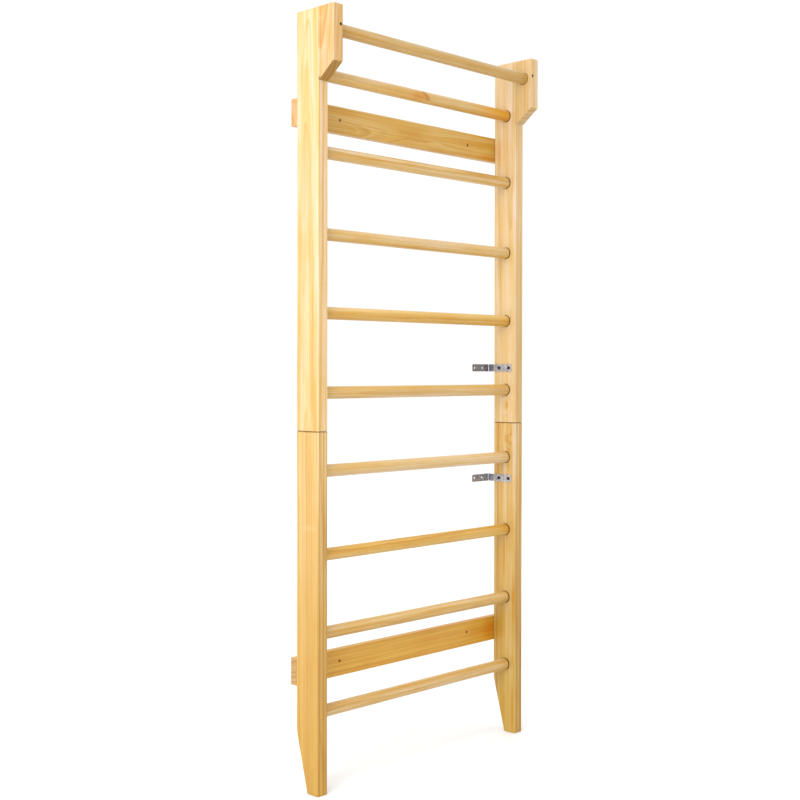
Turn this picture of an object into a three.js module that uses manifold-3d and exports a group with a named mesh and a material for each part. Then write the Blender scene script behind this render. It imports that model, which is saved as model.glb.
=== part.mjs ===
// Wall bars: a tall pine ladder that is screwed to a wall. Two uprights, each in two halves with a
// wing block glued on at the top, nine rungs in blind sockets, a pull-up bar between the wings, two
// battens that lie against the wall, four steel angle brackets, and their dowels and screws.
//
// Millimetres, +Z up, floor at Z = 0. X runs across the width, -Y faces the room, +Y faces the wall.
// The origin is on the floor, in the middle of the width and of the whole depth.

import * as THREE from 'three';
import { mergeVertices } from 'three/addons/utils/BufferGeometryUtils.js';
import Module from 'manifold-3d';

const wasm = await Module();
wasm.setup();

// ---- Driving dimensions ----

const gap = 0.3; // clearance between pieces that touch

const height = 2200;
const width = 900; // over the outer faces of the uprights

const postThickness = 36; // along X
const postDepth = 91; // along Y
const edgeRound = 2.5; // on the edges of the uprights and wings
const seamZ = 1020; // where the lower halves meet the upper halves
const footDepth = 45; // flat of each foot on the floor, from the front
const footTaperZ = 172; // the back of each foot slopes in below this
const footCurve = 18; // the slope is eased in over this far above and below that

const wingDepth = 62; // in front of the uprights
const wingNoseZ = 2043; // bottom of the wing's front face
const wingRootZ = 1995; // where its sloping underside meets the upright
const wingTipFlat = 3; // height taken off the sharp lower tip

const rungRadius = 18;
const rungChamfer = 1.5;
const socketDepth = 24;
const rungSetback = 42; // rung axes behind the front of the uprights
const rungHeights = [223, 445, 668, 906, 1128, 1354, 1577, 1808, 2027];
const barReach = 30; // pull-up bar's axis in front of the uprights
const barZ = 2138;

const battenHeight = 78;
const battenThickness = 24;
const battenRound = 1.5;
const battens = [
  { level: 'lower', z: 335, wallHoleZ: 339.5 },
  { level: 'upper', z: 1921, wallHoleZ: 1921.5 },
];
const wallHoleInset = 168; // from each end of a batten
const wallHoleRadius = 3;
const wallHoleSinkRadius = 6;

const bracketThickness = 2;
const bracketWidth = 24; // along Z
const bracketBend = 2; // inner radius of the bend
const bracketPostLeg = 100; // from the wall, forwards along the upright
const bracketWallLeg = 82; // from the upright, inwards along the wall
const bracketPostHoles = [47.5, 88.5]; // from the wall
const bracketWallHoles = [34, 71.5]; // from the upright
const bracketHoleRadius = 3.4;
const brackets = [
  { level: 'lower', z: 836 },
  { level: 'upper', z: 1200 },
];

const panScrew = { headRadius: 5, headHeight: 3, shankRadius: 2.2, length: 24 };
const battenScrew = { headRadius: 4.5, shankRadius: 2.2, length: 50, sink: 0.5 };
const battenScrewSpread = 22; // above and below the batten's middle
const barScrew = { headRadius: 4.2, shankRadius: 1.8, length: 32, sink: 1.5 };
const barScrewInset = 8; // from the wing's inner face
const barScrewRise = 6.5; // above the bar's axis
const recess = { reach: 1.7, slot: 0.5, depth: 1.4 }; // cross recess in every screw head

const dowelRadius = 5;
const seamDowel = { length: 60, spread: 22 }; // spread: each way from the middle of the post's depth
const wingDowel = { length: 50, heights: [2085, 2180] };

const roundSides = 32;
const smallSides = 12;

// ---- Places worked out from them ----

const wallY = (wingDepth + postDepth + gap + battenThickness) / 2;
const wingFrontY = -wallY;
const postFrontY = wingFrontY + wingDepth;
const postBackY = postFrontY + postDepth;
const postMiddleY = (postFrontY + postBackY) / 2;
const innerX = width / 2 - postThickness; // inner face of the right-hand upright
const postMiddleX = width / 2 - postThickness / 2;
const rungY = postFrontY + rungSetback;
const barY = postFrontY - barReach;
const rungHalfLength = innerX + socketDepth;
const beyond = 10; // how far a cutter runs past what it cuts

const sides = [
  { side: 'left', sign: -1 },
  { side: 'right', sign: 1 },
];

// ---- Materials ----

function finish(color, roughness, metalness) {
  return new THREE.MeshStandardMaterial({ color, roughness, metalness });
}

const upperPine = finish(0xf2d7a4, 0.42, 0);
const lowerPine = finish(0xe6c283, 0.42, 0);
const rungPine = finish(0xe3bd78, 0.38, 0);
const battenPine = finish(0xdcb368, 0.42, 0);
const beech = finish(0xd9b183, 0.6, 0);
const zincSteel = finish(0x9fa0a4, 0.35, 0.9);
const blackSteel = finish(0x17171a, 0.4, 0.6);
const yellowZinc = finish(0xb9a46a, 0.35, 0.9);

// ---- Solids ----

function solidFrom(geometry) {
  const bare = new THREE.BufferGeometry();
  bare.setAttribute('position', geometry.getAttribute('position'));
  bare.setIndex(geometry.getIndex());
  const merged = mergeVertices(bare);
  const corners = merged.getIndex().array;
  const triangles = [];
  for (let i = 0; i < corners.length; i += 3) {
    const [a, b, c] = corners.slice(i, i + 3);
    const flat = a === b || b === c || c === a; // a lathe leaves these where it meets its axis
    if (!flat) triangles.push(a, b, c);
  }
  return new wasm.Manifold(new wasm.Mesh({
    numProp: 3,
    vertProperties: new Float32Array(merged.getAttribute('position').array),
    triVerts: new Uint32Array(triangles),
  }));
}

function box(low, high) {
  const size = new THREE.Vector3().subVectors(high, low);
  const middle = new THREE.Vector3().addVectors(low, high).multiplyScalar(0.5);
  const geometry = new THREE.BoxGeometry(size.x, size.y, size.z);
  return solidFrom(geometry.translate(middle.x, middle.y, middle.z));
}

// A turned solid. The profile lists [radius, distance] from one end of the axis to the other;
// distance is measured from start along direction.
function turned(profile, start, direction, faces) {
  const points = profile.map(([radius, distance]) => new THREE.Vector2(radius, distance));
  const geometry = new THREE.LatheGeometry(points, faces);
  const turn = new THREE.Quaternion().setFromUnitVectors(new THREE.Vector3(0, 1, 0), direction);
  geometry.applyQuaternion(turn);
  return solidFrom(geometry.translate(start.x, start.y, start.z));
}

function cylinder(radius, start, direction, length, faces) {
  return turned([[0, 0], [radius, 0], [radius, length], [0, length]], start, direction, faces);
}

// A round bar with chamfered ends.
function chamferedBar(radius, chamfer, start, direction, length, faces) {
  const profile = [
    [0, 0],
    [radius - chamfer, 0],
    [radius, chamfer],
    [radius, length - chamfer],
    [radius - chamfer, length],
    [0, length],
  ];
  return turned(profile, start, direction, faces);
}

// A shape drawn in Y and Z, given thickness along X from x, with rounded edges.
function plate(shape, x, thickness, round) {
  const geometry = new THREE.ExtrudeGeometry(shape, {
    depth: thickness - 2 * round,
    bevelThickness: round,
    bevelSize: round,
    bevelOffset: -round,
    bevelSegments: 2,
    curveSegments: 4,
  });
  const upright = new THREE.Matrix4().makeBasis(
    new THREE.Vector3(0, 1, 0),
    new THREE.Vector3(0, 0, 1),
    new THREE.Vector3(1, 0, 0),
  );
  geometry.applyMatrix4(upright);
  return solidFrom(geometry.translate(x + round, 0, 0));
}

function cut(solid, cutters) {
  return cutters.reduce((left, cutter) => left.subtract(cutter), solid);
}

// ---- Screws and dowels, and the holes they need ----

const at = (x, y, z) => new THREE.Vector3(x, y, z);
const alongX = (sign) => at(sign, 0, 0);
const forwards = at(0, -1, 0);
const backwards = at(0, 1, 0);
const up = at(0, 0, 1);

// The two arms of a cross recess, sunk into a head whose top is at start.
function crossRecess(start, direction) {
  const { reach, slot, depth } = recess;
  const turn = new THREE.Quaternion().setFromUnitVectors(up, direction);
  return [[reach, slot], [slot, reach]].map(([across, along]) => {
    const arm = new THREE.BoxGeometry(2 * across, 2 * along, 2 * depth);
    return solidFrom(arm.applyQuaternion(turn).translate(start.x, start.y, start.z));
  });
}

// A pan-head screw whose head rests on start, and whose shank points along direction.
function panHeadScrew(screw, start, direction) {
  const { headRadius, headHeight, shankRadius, length } = screw;
  const profile = [
    [0, -headHeight],
    [0.5 * headRadius, -headHeight],
    [0.85 * headRadius, -0.75 * headHeight],
    [headRadius, -0.3 * headHeight],
    [headRadius, 0],
    [shankRadius, 0],
    [shankRadius, length - 2 * shankRadius],
    [0, length],
  ];
  const top = start.clone().addScaledVector(direction, -headHeight);
  return cut(turned(profile, start, direction, smallSides), crossRecess(top, direction));
}

// A flat-head screw, its head sunk below the face that start lies on.
function flatHeadScrew(screw, start, direction) {
  const { headRadius, shankRadius, length, sink } = screw;
  const profile = [
    [0, sink],
    [headRadius, sink],
    [shankRadius, sink + headRadius - shankRadius],
    [shankRadius, sink + length - 2 * shankRadius],
    [0, sink + length],
  ];
  const top = start.clone().addScaledVector(direction, sink);
  return cut(turned(profile, start, direction, smallSides), crossRecess(top, direction));
}

// The countersunk hole for that screw.
function flatHeadHole(screw, start, direction) {
  const { headRadius, shankRadius, length, sink } = screw;
  const mouth = headRadius + gap;
  const bore = shankRadius + gap;
  const profile = [
    [0, -beyond],
    [mouth, -beyond],
    [mouth, sink + gap],
    [bore, sink + gap + mouth - bore],
    [bore, sink + length + gap],
    [0, sink + length + gap],
  ];
  return turned(profile, start, direction, smallSides);
}

function dowel(length, middle, direction) {
  const start = middle.clone().addScaledVector(direction, -length / 2);
  return chamferedBar(dowelRadius, 1, start, direction, length, smallSides);
}

function dowelHole(length, middle, direction) {
  const start = middle.clone().addScaledVector(direction, -length / 2 - gap);
  return cylinder(dowelRadius + gap, start, direction, length + 2 * gap, smallSides);
}

// ---- Where fasteners and dowels go, for one side of the ladder ----

function seamDowelMiddles(sign) {
  return [-1, 1].map((end) => at(sign * postMiddleX, postMiddleY + end * seamDowel.spread, seamZ));
}

function wingDowelMiddles(sign) {
  return wingDowel.heights.map((z) => at(sign * postMiddleX, postFrontY, z));
}

function bracketScrewSeats(sign, z) {
  return bracketPostHoles.map((fromWall) => at(sign * innerX, wallY - fromWall, z));
}

function battenScrewSeats(sign, z) {
  return [-1, 1].map((end) => at(sign * postMiddleX, wallY, z + end * battenScrewSpread));
}

function barScrewSeat(sign) {
  return at(sign * (innerX + barScrewInset), wingFrontY, barZ + barScrewRise);
}

// ---- Uprights and wing blocks ----

// The lower half of an upright, seen from the side: a board with its foot tapered at the back.
function lowerOutline() {
  const taper = new THREE.Vector2(postBackY - postFrontY - footDepth, footTaperZ).normalize();
  const shape = new THREE.Shape();
  shape.moveTo(postFrontY, 0);
  shape.lineTo(postFrontY + footDepth, 0);
  shape.lineTo(postBackY - footCurve * taper.x, footTaperZ - footCurve * taper.y);
  shape.quadraticCurveTo(postBackY, footTaperZ, postBackY, footTaperZ + footCurve);
  shape.lineTo(postBackY, seamZ - gap / 2);
  shape.lineTo(postFrontY, seamZ - gap / 2);
  return shape;
}

// The upper half with its wing, as one board that is sawn in two below.
function upperOutline() {
  const shape = new THREE.Shape();
  shape.moveTo(postFrontY, seamZ + gap / 2);
  shape.lineTo(postBackY, seamZ + gap / 2);
  shape.lineTo(postBackY, height);
  shape.lineTo(wingFrontY, height);
  shape.lineTo(wingFrontY, wingNoseZ);
  shape.lineTo(postFrontY, wingRootZ);
  return shape;
}

function board(outline, sign) {
  const leftmost = Math.min(sign * innerX, sign * (width / 2));
  return plate(outline, leftmost, postThickness, edgeRound);
}

function rungSocket(sign, y, z) {
  const mouth = at(sign * (innerX - beyond), y, z);
  return cylinder(rungRadius + gap, mouth, alongX(sign), beyond + socketDepth + gap, roundSides);
}

// Every hole that one upright has, over its whole height.
function postHoles(sign) {
  const pilotRadius = panScrew.shankRadius + gap;
  const sockets = rungHeights.map((z) => rungSocket(sign, rungY, z));
  const pilots = brackets.flatMap(({ z }) => bracketScrewSeats(sign, z).map((seat) => (
    cylinder(pilotRadius, seat, alongX(sign), panScrew.length + gap, smallSides))));
  const screws = battens.flatMap(({ z }) => battenScrewSeats(sign, z).map((seat) => (
    flatHeadHole(battenScrew, seat, forwards))));
  const seams = seamDowelMiddles(sign).map((middle) => dowelHole(seamDowel.length, middle, up));
  const wings = wingDowelMiddles(sign).map((middle) => dowelHole(wingDowel.length, middle, forwards));
  return [...sockets, ...pilots, ...screws, ...seams, ...wings];
}

function wingHoles(sign) {
  return [
    rungSocket(sign, barY, barZ),
    flatHeadHole(barScrew, barScrewSeat(sign), backwards),
    ...wingDowelMiddles(sign).map((middle) => dowelHole(wingDowel.length, middle, forwards)),
  ];
}

function addUpright({ side, sign }) {
  const top = height + beyond;
  const holes = postHoles(sign);
  const upperBoard = board(upperOutline(), sign);
  const upperPost = upperBoard.intersect(box(at(-width, postFrontY, 0), at(width, wallY, top)));
  const wingLow = at(-width, wingFrontY - beyond, wingRootZ + wingTipFlat);
  const wing = upperBoard.intersect(box(wingLow, at(width, postFrontY - gap, top)));
  addPiece(`${side}_lower_post`, cut(board(lowerOutline(), sign), holes), lowerPine);
  addPiece(`${side}_upper_post`, cut(upperPost, holes), upperPine);
  addPiece(`${side}_wing_block`, cut(wing, wingHoles(sign)), upperPine);
}

// ---- Rungs and pull-up bar ----

function roundBar(y, z) {
  const start = at(-rungHalfLength, y, z);
  return chamferedBar(rungRadius, rungChamfer, start, alongX(1), 2 * rungHalfLength, roundSides);
}

function addRungs() {
  rungHeights.forEach((z, i) => addPiece(`rung_${i + 1}`, roundBar(rungY, z), rungPine));
}

function addPullUpBar() {
  const holes = sides.map(({ sign }) => flatHeadHole(barScrew, barScrewSeat(sign), backwards));
  addPiece('pull_up_bar', cut(roundBar(barY, barZ), holes), rungPine);
}

// ---- Battens against the wall ----

// A countersunk hole for a wall screw, sunk from the front.
function wallScrewHole(x, z) {
  const cone = wallHoleSinkRadius - wallHoleRadius;
  const profile = [
    [0, -beyond],
    [wallHoleSinkRadius, -beyond],
    [wallHoleSinkRadius, 0],
    [wallHoleRadius, cone],
    [wallHoleRadius, battenThickness + beyond],
    [0, battenThickness + beyond],
  ];
  return turned(profile, at(x, wallY - battenThickness, z), backwards, smallSides);
}

function addBatten({ level, z, wallHoleZ }) {
  const low = z - battenHeight / 2;
  const high = z + battenHeight / 2;
  const front = wallY - battenThickness;
  const corners = [[front, low], [wallY, low], [wallY, high], [front, high]];
  const outline = new THREE.Shape(corners.map(([y, cornerZ]) => new THREE.Vector2(y, cornerZ)));
  const strip = plate(outline, -width / 2, width, battenRound);
  const holes = sides.flatMap(({ sign }) => [
    wallScrewHole(sign * (width / 2 - wallHoleInset), wallHoleZ),
    ...battenScrewSeats(sign, z).map((seat) => flatHeadHole(battenScrew, seat, forwards)),
  ]);
  addPiece(`${level}_wall_batten`, cut(strip, holes), battenPine);
}

// ---- Steel angle brackets ----

// The bent strip seen from above, for the right-hand side, with its corner at (0, 0):
// x runs inwards along the wall, y forwards along the upright.
function bracketOutline() {
  const inner = bracketThickness + bracketBend;
  const shape = new THREE.Shape();
  shape.moveTo(inner, 0);
  shape.lineTo(bracketWallLeg, 0);
  shape.lineTo(bracketWallLeg, bracketThickness);
  shape.lineTo(inner, bracketThickness);
  shape.absarc(inner, inner, bracketBend, -Math.PI / 2, -Math.PI, true);
  shape.lineTo(bracketThickness, bracketPostLeg);
  shape.lineTo(0, bracketPostLeg);
  shape.lineTo(0, inner);
  shape.absarc(inner, inner, inner, -Math.PI, -Math.PI / 2, false);
  return shape;
}

function bracketStrip(sign, z) {
  const options = { depth: bracketWidth, bevelEnabled: false, curveSegments: 6 };
  const strip = new THREE.ExtrudeGeometry(bracketOutline(), options);
  // Half a turn about Z faces the strip forwards and inwards on the right, and half a turn about X
  // does so on the left.
  const cornerX = sign * (innerX - gap);
  if (sign > 0) {
    strip.rotateZ(Math.PI).translate(cornerX, wallY, z - bracketWidth / 2);
  } else {
    strip.rotateX(Math.PI).translate(cornerX, wallY, z + bracketWidth / 2);
  }
  return strip;
}

function addBracket({ side, sign }, { level, z }) {
  const through = 3 * bracketThickness;
  const postLegHoles = bracketPostHoles.map((fromWall) => {
    const start = at(sign * (innerX - through), wallY - fromWall, z);
    return cylinder(bracketHoleRadius, start, alongX(sign), 2 * through, smallSides);
  });
  const wallLegHoles = bracketWallHoles.map((inwards) => {
    const start = at(sign * (innerX - inwards), wallY - through, z);
    return cylinder(bracketHoleRadius, start, backwards, 2 * through, smallSides);
  });
  const solid = cut(solidFrom(bracketStrip(sign, z)), [...postLegHoles, ...wallLegHoles]);
  addPiece(`${side}_${level}_bracket`, solid, zincSteel);
}

// ---- Dowels and screws ----

function addBracketScrews({ side, sign }, { level, z }) {
  bracketScrewSeats(sign, z).forEach((seat, i) => {
    const underHead = seat.addScaledVector(alongX(sign), -(bracketThickness + 2 * gap));
    const screw = panHeadScrew(panScrew, underHead, alongX(sign));
    addPiece(`${side}_${level}_bracket_screw_${i + 1}`, screw, blackSteel);
  });
}

function addBattenScrews({ side, sign }, { level, z }) {
  battenScrewSeats(sign, z).forEach((seat, i) => {
    const screw = flatHeadScrew(battenScrew, seat, forwards);
    addPiece(`${side}_${level}_batten_screw_${i + 1}`, screw, yellowZinc);
  });
}

function addBarScrew({ side, sign }) {
  const screw = flatHeadScrew(barScrew, barScrewSeat(sign), backwards);
  addPiece(`${side}_bar_locking_screw`, screw, blackSteel);
}

function addDowels({ side, sign }) {
  seamDowelMiddles(sign).forEach((middle, i) => {
    addPiece(`${side}_seam_dowel_${i + 1}`, dowel(seamDowel.length, middle, up), beech);
  });
  wingDowelMiddles(sign).forEach((middle, i) => {
    addPiece(`${side}_wing_dowel_${i + 1}`, dowel(wingDowel.length, middle, forwards), beech);
  });
}

// ---- Assembly ----

const wallBars = new THREE.Group();
wallBars.name = 'wall_bars';

function addPiece(name, solid, material) {
  const { numProp, vertProperties, triVerts } = solid.getMesh();
  const geometry = new THREE.BufferGeometry();
  geometry.setAttribute('position', new THREE.BufferAttribute(vertProperties, numProp));
  geometry.setIndex(new THREE.BufferAttribute(triVerts, 1));
  const faceted = geometry.toNonIndexed();
  faceted.computeVertexNormals();
  const piece = new THREE.Mesh(faceted, material);
  piece.name = name;
  wallBars.add(piece);
}

for (const hand of sides) {
  addUpright(hand);
  addDowels(hand);
  addBarScrew(hand);
  for (const bracketPlace of brackets) {
    addBracket(hand, bracketPlace);
    addBracketScrews(hand, bracketPlace);
  }
  for (const battenPlace of battens) {
    addBattenScrews(hand, battenPlace);
  }
}
battens.forEach(addBatten);
addRungs();
addPullUpBar();

export default wallBars;
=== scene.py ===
"""Looks for the wall bars: fine meshes, procedural pine and steel, soft studio light and the camera.

Lengths are in metres, in the frame's own axes: +Z up, +X to the right, -Y to the room, +Y to the wall.
"""

import math

import bmesh
import bpy
from mathutils import Matrix, Vector


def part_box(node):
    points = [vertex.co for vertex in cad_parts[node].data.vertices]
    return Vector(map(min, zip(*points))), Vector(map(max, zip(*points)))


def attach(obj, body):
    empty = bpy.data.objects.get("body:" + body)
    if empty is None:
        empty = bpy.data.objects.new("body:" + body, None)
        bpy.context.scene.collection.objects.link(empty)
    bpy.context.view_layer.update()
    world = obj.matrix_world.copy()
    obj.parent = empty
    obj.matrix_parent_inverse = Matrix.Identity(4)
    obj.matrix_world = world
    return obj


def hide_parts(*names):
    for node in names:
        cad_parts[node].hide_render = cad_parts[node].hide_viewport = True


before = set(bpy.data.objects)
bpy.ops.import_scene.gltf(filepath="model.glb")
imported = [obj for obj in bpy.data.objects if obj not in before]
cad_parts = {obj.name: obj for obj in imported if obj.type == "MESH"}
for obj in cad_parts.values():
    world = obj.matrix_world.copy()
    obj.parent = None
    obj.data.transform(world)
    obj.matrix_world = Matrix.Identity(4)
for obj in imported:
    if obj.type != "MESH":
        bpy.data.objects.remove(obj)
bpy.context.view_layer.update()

MM = 0.001

# ---- What the frame gives ----

SIDES = {"left": -1, "right": 1}
LEVELS = ("lower", "upper")
RUNGS = [name for name in sorted(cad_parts) if name.startswith("rung_")]

POST_LOW, POST_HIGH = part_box("right_upper_post")
WING_LOW, WING_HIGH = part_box("right_wing_block")
FOOT_LOW, FOOT_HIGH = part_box("right_lower_post")
BAR_LOW, BAR_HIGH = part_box("pull_up_bar")
BATTEN_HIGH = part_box("upper_wall_batten")[1]

INNER_X = POST_LOW.x
OUTER_X = POST_HIGH.x
POST_FRONT = POST_LOW.y
POST_BACK = POST_HIGH.y
POST_TOP = POST_HIGH.z
WING_FRONT = WING_LOW.y
WALL = BATTEN_HIGH.y
SEAM_TOP = POST_LOW.z
SEAM_BOTTOM = FOOT_HIGH.z
RUNG_RADIUS = (BAR_HIGH.z - BAR_LOW.z) / 2
SOCKET_DEPTH = BAR_HIGH.x - INNER_X

# ---- Shape details that the frame's boxes don't say ----

EDGE_ROUND = 2.5 * MM
FOOT_DEPTH = 45 * MM
FOOT_TAPER_Z = 172 * MM
FOOT_CURVE = 18 * MM
WING_NOSE_Z = 2043 * MM
WING_ROOT_Z = 1995 * MM
SOCKET_GAP = 0.9 * MM  # dark ring round each rung and the bar, where it enters its socket
GLUE_AND_SHADE_LINE = 4 * MM  # dark ring round each rung just outside its socket: squeezed-out glue and painted shade
SOCKET_MOUTH = 0.7 * MM  # rounded-over rim of each rung socket
RUNG_CHAMFER = 1.5 * MM
BATTEN_ROUND = 1.5 * MM
WALL_HOLE_INSET = 168 * MM
WALL_HOLE_RADIUS = 3 * MM
WALL_HOLE_SINK = 6 * MM
WALL_HOLE_SHADE = 3.4 * MM  # radius that the painted shade inside a wall hole reaches
BORE_SHADE_FADE = (0.1 * MM, 0.5 * MM)  # how far past a bore its painted shade starts and stops fading
WALL_HOLE_HEIGHTS = {"lower": 339.5 * MM, "upper": 1921.5 * MM}
BRACKET_THICKNESS = 2 * MM
BRACKET_BEND = 2 * MM
BRACKET_CORNER = 4 * MM
BRACKET_HOLE = 3.4 * MM
BRACKET_EDGE = 0.25 * MM
BRACKET_POST_HOLES = (47.5 * MM, 88.5 * MM)  # from the wall
BRACKET_WALL_HOLES = (34 * MM, 71.5 * MM)  # from the upright
SCREW_SHANK = 2.2 * MM  # of the bracket and batten screws
SCREW_RECESS = 2.2 * MM
LOCK_SHANK = 1.8 * MM
LOCK_RECESS = 1.6 * MM
PAN_HEAD_HEIGHT = 3 * MM
THREAD_PITCH = 1.8 * MM
THREAD_CREST = 1.12  # the crests' radius as a share of the shank's
PILOT_RADIUS = 2.5 * MM
LOCK_HOLE = dict(mouth=4.7 * MM, bore=2.1 * MM, sink=1.8 * MM, depth=20 * MM)
BATTEN_SCREW_HOLE = dict(mouth=4.9 * MM, bore=2.5 * MM, sink=0.8 * MM)
DOWEL_CHAMFER = 1 * MM
FLUTE_DEPTH = 0.3 * MM
BEYOND = 5 * MM  # how far outside a face its cutters start
TOUCH = 0.1 * MM  # points this near to a face count as on it
ROUND_SIDES = 96
HOLE_SIDES = 48

# ---- Camera ----

CAMERA_PLACE = (-2.7632, -2.6152, 1.1942)
CAMERA_HEADING = 0.79487  # radians, from facing the wall towards +X
CAMERA_DROP = 0.01058  # radians below level
CAMERA_ROLL = 0.00157  # radians
SENSOR_WIDTH = 36  # millimetres, as the focal length is
FOCAL_LENGTH = 56.12
SHIFT_Y = -0.0217

# ---- Light and floor ----

WORLD_STRENGTH = 1.03
BARS_MIDDLE = (0, 0, 1.2)
LIGHTS = {
    "key": dict(place=(-2.7, -0.8, 2.1), target=BARS_MIDDLE, size=2.4, watts=80),
    "fill": dict(place=(-0.6, -3.2, 3.4), target=BARS_MIDDLE, size=3.0, watts=8),
    "ceiling": dict(place=(0, 0, 9), target=(0, 0, 0), size=10.0, watts=380),
}
FLOOR_RADIUS = 14
FLOOR_NEAR = 0.76  # the paint's grey near the bars
FLOOR_FAR = 0.98  # and far from them
FLOOR_FADE = (2.0, 5.0)  # the distances between which it changes


def middle(node):
    """The middle of a node's box."""
    low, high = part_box(node)
    return (low + high) / 2


# ---- Camera, light and floor ----


def make_camera():
    """From the front left, about level with the middle of the bars."""
    data = bpy.data.cameras.new("camera")
    data.sensor_width = SENSOR_WIDTH
    data.lens = FOCAL_LENGTH
    data.shift_y = SHIFT_Y
    camera = new_object("camera", data)
    turn = Matrix.Rotation(-CAMERA_HEADING, 4, "Z") @ Matrix.Rotation(math.pi / 2 - CAMERA_DROP, 4, "X")
    roll = Matrix.Rotation(CAMERA_ROLL, 4, "Z")
    camera.matrix_world = Matrix.Translation(CAMERA_PLACE) @ turn @ roll
    bpy.context.scene.camera = camera


def soft_light(name, place, target, size, watts):
    """A round area light that faces its target."""
    data = bpy.data.lights.new(name, "AREA")
    data.shape = "DISK"
    data.size = size
    data.energy = watts
    light = new_object(name, data)
    light.location = place
    light.rotation_euler = (Vector(target) - Vector(place)).to_track_quat("-Z", "Y").to_euler()


def make_studio():
    """An even white surround, three soft lights and a pale floor."""
    scene = bpy.context.scene
    scene.view_settings.view_transform = "Standard"
    world = bpy.data.worlds.new("studio")
    scene.world = world
    world.use_nodes = True
    background = world.node_tree.nodes["Background"]
    background.inputs["Color"].default_value = (1, 1, 1, 1)
    background.inputs["Strength"].default_value = WORLD_STRENGTH
    for name, light in LIGHTS.items():
        soft_light(name, **light)

    def disk(bm):
        bmesh.ops.create_circle(bm, cap_ends=True, segments=ROUND_SIDES, radius=FLOOR_RADIUS)

    floor = mesh_from("floor", disk)
    floor.data.materials.append(floor_paint())


# ---- Shader helpers ----


def linear(red, green, blue):
    """An sRGB colour, 0 to 255, as the linear values that shaders take."""
    scaled = [value / 255 for value in (red, green, blue)]
    return tuple(v / 12.92 if v <= 0.04045 else ((v + 0.055) / 1.055) ** 2.4 for v in scaled)


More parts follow.
